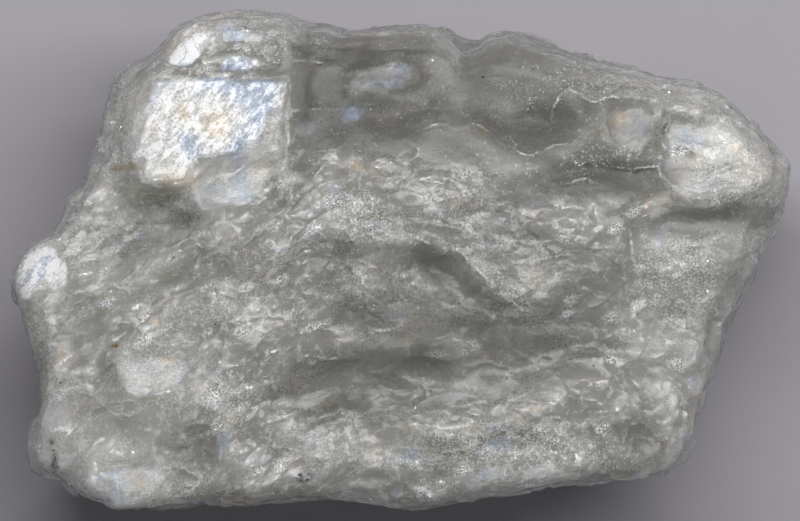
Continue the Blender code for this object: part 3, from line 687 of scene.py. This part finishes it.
material = bpy.data.materials.new("rock_salt")
material.use_nodes = True
tree = material.node_tree
shader = tree.nodes["Principled BSDF"]
shader.inputs["IOR"].default_value = HALITE_IOR
shader.inputs["Subsurface Weight"].default_value = 1.0
shader.inputs["Subsurface Radius"].default_value = SCATTER_RGB
shader.inputs["Subsurface Scale"].default_value = SCATTER_MM * MM
absorb = add_node(tree, "ShaderNodeVolumeAbsorption",
                  {"Color": linear(CLEAR_SALT), "Density": ABSORB_DENSITY})
tree.links.new(absorb, tree.nodes["Material Output"].inputs["Volume"])
coords = add_node(tree, "ShaderNodeTexCoord", output="Object")
at_point = {name: add_node(tree, "ShaderNodeAttribute", output="Fac", attribute_name=name)
            for name in point_values}
band_place = add_node(tree, "ShaderNodeAttribute", output="Vector", attribute_name="band_place")
warp_place = add_node(tree, "ShaderNodeAttribute", output="Vector", attribute_name="warp_place")
print("values read from the points:", len(at_point))

# %% Rock salt, its patterns
# Scales are turns per metre, so 1000 over the scale is the size in millimetres.
FLAW_SCALE = 360.0  # 2.8 mm between inner flaws
CUP_SCALE = 400.0  # 2.5 mm, hollows that dissolving left
BUBBLE_SCALE = 520.0  # 1.9 mm between bubbles
SHARD_SCALE = 640.0  # 1.6 mm, small split faces
GLINT_SCALE = 2300.0  # 0.43 mm between glints, drawn coarser than the real ones so that they show
STREAK_TURN, STREAK_SQUEEZE = 0.9, 0.42
FRAY_MM = 0.6

slanted = add_node(tree, "ShaderNodeMapping",
                   {"Vector": coords, "Rotation": (0.0, 0.0, STREAK_TURN),
                    "Scale": (1.0, STREAK_SQUEEZE, 1.0)}, vector_type="TEXTURE")
# (where it is read, scale, detail, roughness, distortion)
NOISES = (
    (band_place, 170.0, 4.0, 0.58, 0.5),  # haze: 5.9 mm, clouds of brine drops
    (band_place, 520.0, 3.0, 0.6, 0.8),  # wisp: 1.9 mm, thin veils
    (coords, 190.0, 1.0, 0.55, 0.0),  # tint: 5.3 mm, thin films in the cracks
    (coords, 1000.0, 3.0, 0.7, 0.0),  # mottle: 1 mm, grains of the mass
    (coords, 2800.0, 2.0, 0.75, 0.0),  # crackle: 0.36 mm, fine cracks
    (coords, 4000.0, 1.0, 0.6, 0.0),  # speckle: 0.25 mm, crushed salt
    (slanted, 520.0, 4.0, 0.72, 0.0),  # streaks: 1.9 mm, frost on a pane
)
haze, wisp, tint, mottle, crackle, speckle, streaks = [
    add_node(tree, NOISE, {"Vector": place, "Scale": scale, "Detail": detail, "Roughness": roughness,
                           "Distortion": distortion})
    for place, scale, detail, roughness, distortion in NOISES]
glint_cells = add_node(tree, CELLS, {"Vector": coords, "Scale": GLINT_SCALE})
bubbles = add_node(tree, CELLS, {"Vector": coords, "Scale": BUBBLE_SCALE})
cups = add_node(tree, CELLS, {"Vector": warp_place, "Scale": CUP_SCALE})
frayed = add_node(tree, "ShaderNodeVectorMath",
                  {0: crackle.node.outputs["Color"], 1: (FRAY_MM * MM,) * 3, 2: warp_place},
                  operation="MULTIPLY_ADD")
shard_cells = add_node(tree, CELLS, {"Vector": frayed, "Scale": SHARD_SCALE}, output="Color")
flaw_cells = add_node(tree, CELLS, {"Vector": frayed, "Scale": FLAW_SCALE})
flaw_colour = add_node(tree, "ShaderNodeSeparateColor", {"Color": flaw_cells.node.outputs["Color"]})
shard_colour = add_node(tree, "ShaderNodeSeparateColor", {"Color": shard_cells})
glint_colour = add_node(tree, "ShaderNodeSeparateColor", {"Color": glint_cells.node.outputs["Color"]})
print("nodes so far:", len(tree.nodes))

# %% Rock salt, levels read off the patterns
# level: (what it reads, where on it the level starts and ends, and the two ends' values if not 0 and 1)
LEVELS = {
    "crackle": (crackle, 0.36, 0.60),
    "broken": (wisp, 0.38, 0.54, 0.0, 0.95),
    "dashed": (crackle, 0.40, 0.54, 0.15, 1.0),
    "patchy": (mottle, 0.44, 0.62, 0.0, 0.7),
    "cracked": (at_point["clear"], 0.0, 0.9, 1.0, 0.26),
    "stroke_zone": (wisp, 0.50, 0.56),
    "pinhole": (bubbles, 0.11, 0.05),
    "bubbly": (wisp, 0.50, 0.58, 0.0, 0.7),
    "hazy": (haze, 0.50, 0.60, 0.0, 0.50),
    "off_flanks": (at_point["upper"], 0.0, 1.0, 0.12, 1.0),
    "dot": (glint_cells, 0.46, 0.26),
    "lit": (glint_colour, 0.35, 0.60),
    "grouped": (mottle, 0.47, 0.58),
    "crushed": (mottle, 0.38, 0.52),
    "fleck": (speckle, 0.52, 0.59),
    "fleck_gap": (speckle, 0.47, 0.38),
    "flaw": (flaw_cells, 0.36, 0.16),
    "flaw_pick": (flaw_colour, 0.52, 0.70),
    "flaw_grain": (speckle, 0.46, 0.56),
    "shard_pick": (shard_colour, 0.74, 0.90),
    "in_cloud": (haze, 0.42, 0.56),
    "frost_gain": (crackle, 0.34, 0.56, 0.80, 1.06),
    "frost_patch": (streaks, 0.36, 0.58, 0.42, 1.10),
    "milk_haze": (haze, 0.32, 0.72, 0.15, 0.50),
    "milk_wisp": (wisp, 0.40, 0.66, 0.0, 0.11),
    "rim": (cups, 0.42, 0.66),
    "rim_patch": (mottle, 0.40, 0.60),
    "stain": (mottle, 0.34, 0.56),
    "unfrosted": (at_point["white"], 0.0, 0.6, 1.0, 0.1),
    "unsmoothed": (at_point["clear"], 0.0, 1.0, 1.0, 0.2),
}
level = {}
for name, (value, start, end, *span) in LEVELS.items():
    first, last = span or (0.0, 1.0)
    level[name] = add_node(tree, RANGE, {"Value": value, "From Min": start, "From Max": end,
                                         "To Min": first, "To Max": last})
cracked = level["cracked"]
print("levels:", len(level))

# %% Rock salt, threads and ledges with painted highlights, bubbles and painted glints
LINE_CORE = 0.2


def thin_line(offset, half_width_mm):
    """1 on the line where a signed offset is 0, falling to 0 at the half width."""
    away = add_node(tree, MATH, {0: offset}, operation="ABSOLUTE")
    return add_node(tree, RANGE, {"Value": away, "From Min": LINE_CORE * half_width_mm,
                                  "From Max": half_width_mm, "To Min": 1.0, "To Max": 0.0})


def product(*shares):
    """All the shares multiplied, each a plain number or a node's output."""
    result = shares[0]
    for share in shares[1:]:
        result = add_node(tree, MATH, {0: result, 1: share}, operation="MULTIPLY")
    return result


def strongest(*shares):
    """The highest of the shares."""
    result = shares[0]
    for share in shares[1:]:
        result = add_node(tree, MATH, {0: result, 1: share}, operation="MAXIMUM")
    return result


# Half widths of the lines, how far threads waver, and how far beside a crest its shade lies.
THREAD_MM, LEDGE_MM, STROKE_MM, SHADE_MM = 0.20, 0.14, 0.11, 0.26
WAVER_MM = 0.9
SHADE_BESIDE_MM = 0.34
STROKE_GAIN, SHADE_DEPTH, GLINT_SHARE, FLECK_SHARE = 1.2, 0.35, 0.9, 0.9

wavering = add_node(tree, MATH, {0: mottle, 1: WAVER_MM, 2: -WAVER_MM / 2.0}, operation="MULTIPLY_ADD")
wavering = add_node(tree, MATH, {0: wavering, 1: at_point["crest_offset"]}, operation="ADD")
# Threads along the crests and lines along the ledges are painted pale: partly whiter salt, partly painted
# highlights where the lamp would catch them.
thread_highlight = product(thin_line(wavering, THREAD_MM), at_point["upper"], level["broken"], level["dashed"])
ledge_highlight = product(thin_line(at_point["ledge"], LEDGE_MM), level["patchy"], cracked)
small_ledge_highlight = product(thin_line(at_point["small_ledge"], STROKE_MM), level["stroke_zone"], level["patchy"],
                 cracked, STROKE_GAIN)
shadow_side = add_node(tree, MATH, {0: wavering, 1: SHADE_BESIDE_MM}, operation="ADD")
shade_line = product(thin_line(shadow_side, SHADE_MM), at_point["upper"], level["broken"], SHADE_DEPTH)
bubble = product(level["pinhole"], level["bubbly"])
cluster = strongest(product(level["hazy"], level["off_flanks"]), at_point["spark"])
# Glints are painted: white dots where the lamp's sparkle would fall, grouped in the sparkling zones.
glint = product(level["dot"], level["lit"], level["grouped"], cluster)
rough_zone = product(cluster, cracked, level["crushed"])
fleck = product(rough_zone, level["fleck"])
fleck_gap = product(rough_zone, level["fleck_gap"])
flaw = product(level["flaw"], level["flaw_pick"], level["flaw_grain"], cracked)
# The pale lines: flaws, bubbles and flecks, with painted highlights on threads and ledges and painted glints.
line = strongest(flaw, ledge_highlight, thread_highlight, small_ledge_highlight, bubble, product(glint, GLINT_SHARE),
                 product(fleck, FLECK_SHARE))
print("nodes so far:", len(tree.nodes))

# %% Rock salt, small split faces
# Faces of one or two millimetres that have split loose from the salt behind them. Each catches more or less
# light than the next, so a picked few are painted lighter and pearly, as painted glints.
split_face_and_glint = product(level["shard_pick"], level["in_cloud"], cracked)
print("nodes so far:", len(tree.nodes))

# %% Rock salt, white and milky shares
# What fine cracks add to the tone, everywhere and more in clear salt.
CRACKLE_TONE, CLEAR_CRACKLE_TONE = 0.21, 0.16
# How much lighter the cup rims and split faces are painted, as painted highlights, and how much darker the
# gaps between flecks are.
CUP_RIM_HIGHLIGHT_TONE, SPLIT_FACE_GLINT_TONE, FLECK_GAP_TONE = 0.25, 0.28, -0.32
CLOUD_START, MILK_CLOUDS, CLEAR_CLOUDS, LINE_CLOUDS = 0.67, 0.18, -0.16, 0.9

# The panes' white: partly white cracks, partly a painted reflection of the lamp in the tilted panes.
frost_and_flash = product(at_point["white"], level["frost_gain"], level["frost_patch"])
milk = add_node(tree, MATH, {0: level["milk_haze"], 1: level["milk_wisp"]}, operation="ADD")
# The lift kept at the points holds the milky tone and also the painted light on the flanks.
milk = add_node(tree, MATH, {0: milk, 1: at_point["milk_share"], 2: at_point["milk_and_flank_light"]},
                operation="MULTIPLY_ADD")
grain = add_node(tree, MATH, {0: at_point["clear"], 1: CLEAR_CRACKLE_TONE, 2: CRACKLE_TONE},
                 operation="MULTIPLY_ADD")
# Painted highlights: the rims of the dissolved cups are painted lighter, where the lamp would catch them.
rim = product(level["rim"], cracked, level["rim_patch"])
tone = milk
for share, gain in ((level["crackle"], grain), (rim, CUP_RIM_HIGHLIGHT_TONE), (split_face_and_glint, SPLIT_FACE_GLINT_TONE),
                    (fleck_gap, FLECK_GAP_TONE)):
    tone = add_node(tree, MATH, {0: share, 1: gain, 2: tone}, operation="MULTIPLY_ADD")
tone = add_node(tree, MATH, {0: tone, 1: shade_line}, operation="SUBTRACT")
tone = add_node(tree, RANGE, {"Value": tone, "From Min": -0.35})
cloud = add_node(tree, MATH, {0: milk, 1: MILK_CLOUDS, 2: CLOUD_START}, operation="MULTIPLY_ADD")
cloud = add_node(tree, MATH, {0: at_point["clear"], 1: CLEAR_CLOUDS, 2: cloud}, operation="MULTIPLY_ADD")
cloud = strongest(cloud, frost_and_flash, product(line, LINE_CLOUDS))
transmission = add_node(tree, MATH, {0: 1.0, 1: cloud}, operation="SUBTRACT", use_clamp=True)
tree.links.new(transmission, shader.inputs["Transmission Weight"])
print("nodes so far:", len(tree.nodes))

# %% Rock salt, its colours
# Thin films in the cracks give the white parts a faint blue or peach tint.
PEARL = ((0.34, "b9c9e4"), (0.45, "dfe1e4"), (0.57, "e6e5e1"), (0.68, "eed9c2"))
# The line colour also paints highlights, and the white also paints glints and the panes' reflection.
DARK_SALT, MILKY_SALT, LINE_SALT_AND_HIGHLIGHT, WHITE_SALT_AND_HIGHLIGHTS = "84827c", "bbbab5", "e9e9e5", "ffffff"
RUST, CLAY_BLUE = "8f781c", "3a4350"
WARM_SHIFT = 0.07
SPLIT_FACE_GLINT_PEARL, FLAW_WHITE, FLECK_WHITE = 0.5, 0.9, 0.30

pearl_place = add_node(tree, MATH, {0: at_point["warm"], 1: WARM_SHIFT, 2: tint}, operation="MULTIPLY_ADD")
pearl = add_node(tree, "ShaderNodeValToRGB", {"Fac": pearl_place})
ramp = pearl.node.color_ramp.elements
ramp[0].position, ramp[0].color = PEARL[0][0], linear(PEARL[0][1])
ramp[1].position, ramp[1].color = PEARL[-1][0], linear(PEARL[-1][1])
for position, shade in PEARL[1:-1]:
    ramp.new(position).color = linear(shade)
# The strongest part of the panes is painted pure white, partly as a painted reflection of the lamp.
pane_flash = add_node(tree, RANGE, {"Value": frost_and_flash, "From Min": 0.78, "From Max": 1.15})
whitest_and_highlights = strongest(glint, pane_flash, product(flaw, FLAW_WHITE), product(fleck, FLECK_WHITE))
# Sockets 0, 6 and 7 of a Mix node are its share and its two colours, and output 2 is the mixed colour.
colour = linear(DARK_SALT)
# The split faces' painted glints are mixed towards the pearl colours here.
for share, over in ((tone, linear(MILKY_SALT)), (product(split_face_and_glint, SPLIT_FACE_GLINT_PEARL), pearl),
                    (line, linear(LINE_SALT_AND_HIGHLIGHT)), (frost_and_flash, pearl), (whitest_and_highlights, linear(WHITE_SALT_AND_HIGHLIGHTS)),
                    (product(at_point["rust"], level["stain"]), linear(RUST)),
                    (product(at_point["inked"], level["stain"]), linear(CLAY_BLUE))):
    colour = add_node(tree, MIX, {0: share, 6: colour, 7: over}, output=2, data_type="RGBA")
tree.links.new(colour, shader.inputs["Base Color"])
print("nodes so far:", len(tree.nodes))

# %% Rock salt, gloss and fine relief
# Heights are in millimetres. Cups are the hollows that dissolving left, too fine for the mesh. Clear salt is
# etched, so it is duller than the rest.
CUP_MM = 0.80
CRACKLE_MM = 0.075
PIT_MM = 0.10
CUP_POWER = 2.0
FRESH_DULL, FROST_DULL, CRACKLE_DULL, CLEAR_DULL = 0.07, 0.24, 0.08, 0.34

dull = add_node(tree, MATH, {0: frost_and_flash, 1: FROST_DULL, 2: FRESH_DULL}, operation="MULTIPLY_ADD")
dull = add_node(tree, MATH, {0: level["crackle"], 1: CRACKLE_DULL, 2: dull}, operation="MULTIPLY_ADD")
dull = add_node(tree, MATH, {0: at_point["clear"], 1: CLEAR_DULL, 2: dull}, operation="MULTIPLY_ADD",
                use_clamp=True)
tree.links.new(dull, shader.inputs["Roughness"])
hollow = add_node(tree, MATH, {0: cups, 1: CUP_POWER}, operation="POWER")
hollow = product(hollow, level["unfrosted"], level["unsmoothed"])
pit = product(speckle, at_point["spark"])
relief = add_node(tree, MATH, {0: hollow, 1: CUP_MM}, operation="MULTIPLY")
relief = add_node(tree, MATH, {0: crackle, 1: CRACKLE_MM, 2: relief}, operation="MULTIPLY_ADD")
relief = add_node(tree, MATH, {0: pit, 1: PIT_MM, 2: relief}, operation="MULTIPLY_ADD")
bump = add_node(tree, "ShaderNodeBump", {"Strength": 1.0, "Distance": MM, "Height": relief})
tree.links.new(bump, shader.inputs["Normal"])
surface.data.materials.clear()
surface.data.materials.append(material)
print("material nodes:", len(tree.nodes))

# %% The surface rides on the lump's body and stands for its solid
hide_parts("halite_lump")
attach(surface, "root")
print("surface in place")

# %% [markdown]
# ## Chips of salt
# Crushed salt clings where the lump was knocked. The chips split off along the same three directions as
# the lump, so they are small blocks that nearly line up with it, half sunk in its surface.

# %% One chip
CHIP_BEVEL = 0.34  # of its side

bpy.ops.mesh.primitive_cube_add(size=1.0)
block = bpy.context.active_object
select_only(block)
bpy.ops.object.mode_set(mode="EDIT")
bpy.ops.mesh.select_mode(type="EDGE")
bpy.ops.mesh.select_all(action="DESELECT")
bpy.ops.object.mode_set(mode="OBJECT")
for edge in block.data.edges:
    ends = [block.data.vertices[v].co for v in edge.vertices]
    edge.select = all(end.x > 0.0 and end.z > 0.0 for end in ends)
bpy.ops.object.mode_set(mode="EDIT")
bpy.ops.mesh.bevel(offset=CHIP_BEVEL, segments=1)
bpy.ops.object.mode_set(mode="OBJECT")
block_corners = np.array([tuple(v.co) for v in block.data.vertices])
block_faces = [tuple(f.vertices) for f in block.data.polygons]
bpy.data.objects.remove(block)
print("chip corners:", len(block_corners))

# %% Salt chips
CHIP_COUNT = 1500
CHIP_MM = (0.07, 0.18)
CHIP_STRETCH = (0.7, 1.5)
CHIP_TURN_DEG = 14.0
CHIP_SINK = 0.25
# How likely a chip is: where it sparkles, on the flanks and as much more on top, then anywhere on top and
# anywhere off the flat panes. None are near the floor.
FLANK_CHIPS, MORE_ON_TOP, TOP_CHIPS, ROUGH_CHIPS = 0.15, 0.85, 0.006, 0.01
OFF_THE_FLOOR = 0.99

weights = spark ** 2 * (FLANK_CHIPS + MORE_ON_TOP * upper) + TOP_CHIPS * upper + ROUGH_CHIPS * (1.0 - flat)
weights = weights * (base > OFF_THE_FLOOR)
picked_points = draw.choice(count, CHIP_COUNT, replace=False, p=weights / weights.sum())
chip_corners, chip_faces = [], []
for point in picked_points:
    size = draw.uniform(*CHIP_MM) * draw.uniform(*CHIP_STRETCH, 3)
    turn = CUBE @ Euler([math.radians(draw.normal(0.0, CHIP_TURN_DEG)) for _ in range(3)]).to_matrix()
    middle = places[point] - normals[point] * CHIP_SINK * float(size.min())
    first = len(chip_corners)
    chip_corners += [tuple(middle + np.array(turn @ Vector(corner * size))) for corner in block_corners]
    chip_faces += [tuple(first + corner for corner in face) for face in block_faces]
chip_mesh = bpy.data.meshes.new("salt_chips")
chip_mesh.from_pydata([tuple(v * MM for v in corner) for corner in chip_corners], [], chip_faces)
chips = bpy.data.objects.new("salt_chips", chip_mesh)
bpy.context.scene.collection.objects.link(chips)
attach(chips, "root")
print("chips:", CHIP_COUNT, " triangles:", sum(len(f.vertices) - 2 for f in chip_mesh.polygons))

# %% Crushed salt
# Fresh chips of rock salt: glassy on their faces, and white or grey by how much they are cracked.
def give_mottled(piece, name, dark, light, roughness, **noise_inputs):
    """Gives the piece a material whose colour wavers between two shades, and returns its shader."""
    made = bpy.data.materials.new(name)
    made.use_nodes = True
    own_tree = made.node_tree
    principled = own_tree.nodes["Principled BSDF"]
    principled.inputs["Roughness"].default_value = roughness
    place = add_node(own_tree, "ShaderNodeTexCoord", output="Object")
    waver = add_node(own_tree, NOISE, {"Vector": place, **noise_inputs})
    mixed = add_node(own_tree, MIX, {0: waver, 6: linear(dark), 7: linear(light)}, output=2,
                     data_type="RGBA")
    own_tree.links.new(mixed, principled.inputs["Base Color"])
    piece.data.materials.append(made)
    return principled


# The noise, 1.4 mm, is coarser than a chip, so that chips differ from one another.
crushed = give_mottled(chips, "crushed_salt", "8d8d8a", "e4e4e2", roughness=0.12, Scale=700.0)
crushed.inputs["IOR"].default_value = HALITE_IOR
print("crushed salt ready")

# %% [markdown]
# ## Dark grains
# A few grains of dark clay, blown in or grown over, lie on the salt as black specks and dashes. Each is a
# ball whose points are pushed about, squashed and laid on the surface.

# %% Clay grains
# (x, y, length, width, turn in degrees) in millimetres in plan
GRAINS = (
    (-35.4, -10.7, 0.35, 0.25, 0.0),
    (40.9, 19.2, 1.1, 0.22, -35.0),
    (-43.3, -23.6, 0.5, 0.16, 15.0),
    (-43.1, -24.6, 0.16, 0.8, 12.0),
    (-42.8, -25.6, 0.16, 0.7, -8.0),
    (-43.2, -26.3, 0.5, 0.14, 35.0),
    (-43.5, -22.6, 0.5, 0.2, 30.0),
    (-42.4, -15.2, 0.3, 0.25, 0.0),
    (29.3, -6.7, 0.3, 0.25, 20.0),
    (23.9, -13.1, 0.25, 0.25, 0.0),
    (-28.3, 0.4, 0.25, 0.2, 0.0),
    (-23.1, -7.9, 0.3, 0.2, 40.0),
    (-19.4, 28.9, 0.6, 0.25, -50.0),
    (27.3, 21.6, 0.25, 0.2, 0.0),
    (10.1, 22.8, 0.3, 0.25, 0.0),
    (-12.6, -26.6, 0.5, 0.35, 20.0),
    (-11.7, -27.2, 0.45, 0.3, -10.0),
)
GRAIN_THICK_MM = 0.2
GRAIN_LUMPS = 0.09
ABOVE_ALL_MM = 200.0
surface_tree = BVHTree.FromPolygons([tuple(p) for p in places],
                                    [tuple(f.vertices) for f in surface.data.polygons])
grains = []
for number, (x, y, length, width, turn) in enumerate(GRAINS):
    hit = surface_tree.ray_cast(Vector((x, y, ABOVE_ALL_MM)), Vector((0.0, 0.0, -1.0)))[0]
    bpy.ops.mesh.primitive_ico_sphere_add(subdivisions=2, radius=0.5)
    grain = bpy.context.active_object
    select_only(grain)
    bpy.ops.object.mode_set(mode="EDIT")
    bpy.ops.mesh.select_all(action="SELECT")
    bpy.ops.transform.vertex_random(offset=GRAIN_LUMPS, seed=number)
    bpy.ops.object.mode_set(mode="OBJECT")
    shape = Matrix.Translation(hit * MM) @ Matrix.Rotation(math.radians(turn), 4, "Z")
    shape = shape @ Matrix.Diagonal((length * MM, width * MM, GRAIN_THICK_MM * MM, 1.0))
    grain.data.transform(shape)
    grains.append(grain)
select_only(grains[0])
for grain in grains:
    grain.select_set(True)
bpy.ops.object.join()
grains = bpy.context.active_object
grains.name = "clay_grains"
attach(grains, "root")
print("clay grains:", len(GRAINS))

# %% Clay
# Dry clay: dull and nearly black, with faint grey where it is dusted, in spots of 0.3 mm.
give_mottled(grains, "dry_clay", "1c1c20", "3d3f44", roughness=0.8, Scale=3000.0)
print("clay ready")

# %% [markdown]
# ## Floor and light
# A pale grey floor with a lavender cast. A long, narrow lamp at the back draws the glints on slopes that
# turn towards it. A broad soft light from overhead fills the hollows, and a faint one from the front lifts
# the near flank.

# %% Floor
# Matt paper: it scatters light evenly, and its pulp is faintly cloudy, in clouds of 25 mm.
FLOOR_SIZE_M = 6.0

bpy.ops.mesh.primitive_plane_add(size=FLOOR_SIZE_M, location=(0.0, 0.0, 0.0))
floor = bpy.context.active_object
floor.name = "floor"
give_mottled(floor, "matt_paper", "a19ea4", "a7a4aa", roughness=0.9, Scale=40.0, Detail=3.0)
floor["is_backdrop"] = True
print("floor ready")

# %% Lights
# (name, place in mm, size in mm, power in watts)
LIGHTS = (
    ("lamp", (50.0, 150.0, 330.0), (600.0, 11.0), 1.68),
    ("overhead", (0.0, -200.0, 2200.0), (2400.0, 2400.0), 1.5),
    ("fill", (-100.0, -600.0, 700.0), (500.0, 500.0), 0.60),
)
AIM_HEIGHT_MM = 20.0
WORLD_COLOUR, WORLD_STRENGTH = "d9dadf", 0.08

for name, place, size, power in LIGHTS:
    data = bpy.data.lights.new(name, "AREA")
    data.shape = "RECTANGLE"
    data.size = size[0] * MM
    data.size_y = size[1] * MM
    data.energy = power
    light = bpy.data.objects.new(name, data)
    bpy.context.scene.collection.objects.link(light)
    light.location = Vector(place) * MM
    aim = Vector((0.0, 0.0, AIM_HEIGHT_MM)) * MM - light.location
    light.rotation_mode = "QUATERNION"
    light.rotation_quaternion = aim.to_track_quat("-Z", "Y")
world = bpy.data.worlds.new("studio")
world.use_nodes = True
world.node_tree.nodes["Background"].inputs["Color"].default_value = linear(WORLD_COLOUR)
world.node_tree.nodes["Background"].inputs["Strength"].default_value = WORLD_STRENGTH
bpy.context.scene.world = world
bpy.context.scene.view_settings.view_transform = "Standard"
print("lights:", len(LIGHTS))

# %% Sizes
def corners(pair):
    return [[float(v) for v in corner] for corner in pair]


{"cad": corners(solid_bounds), "visual": corners(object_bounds())}
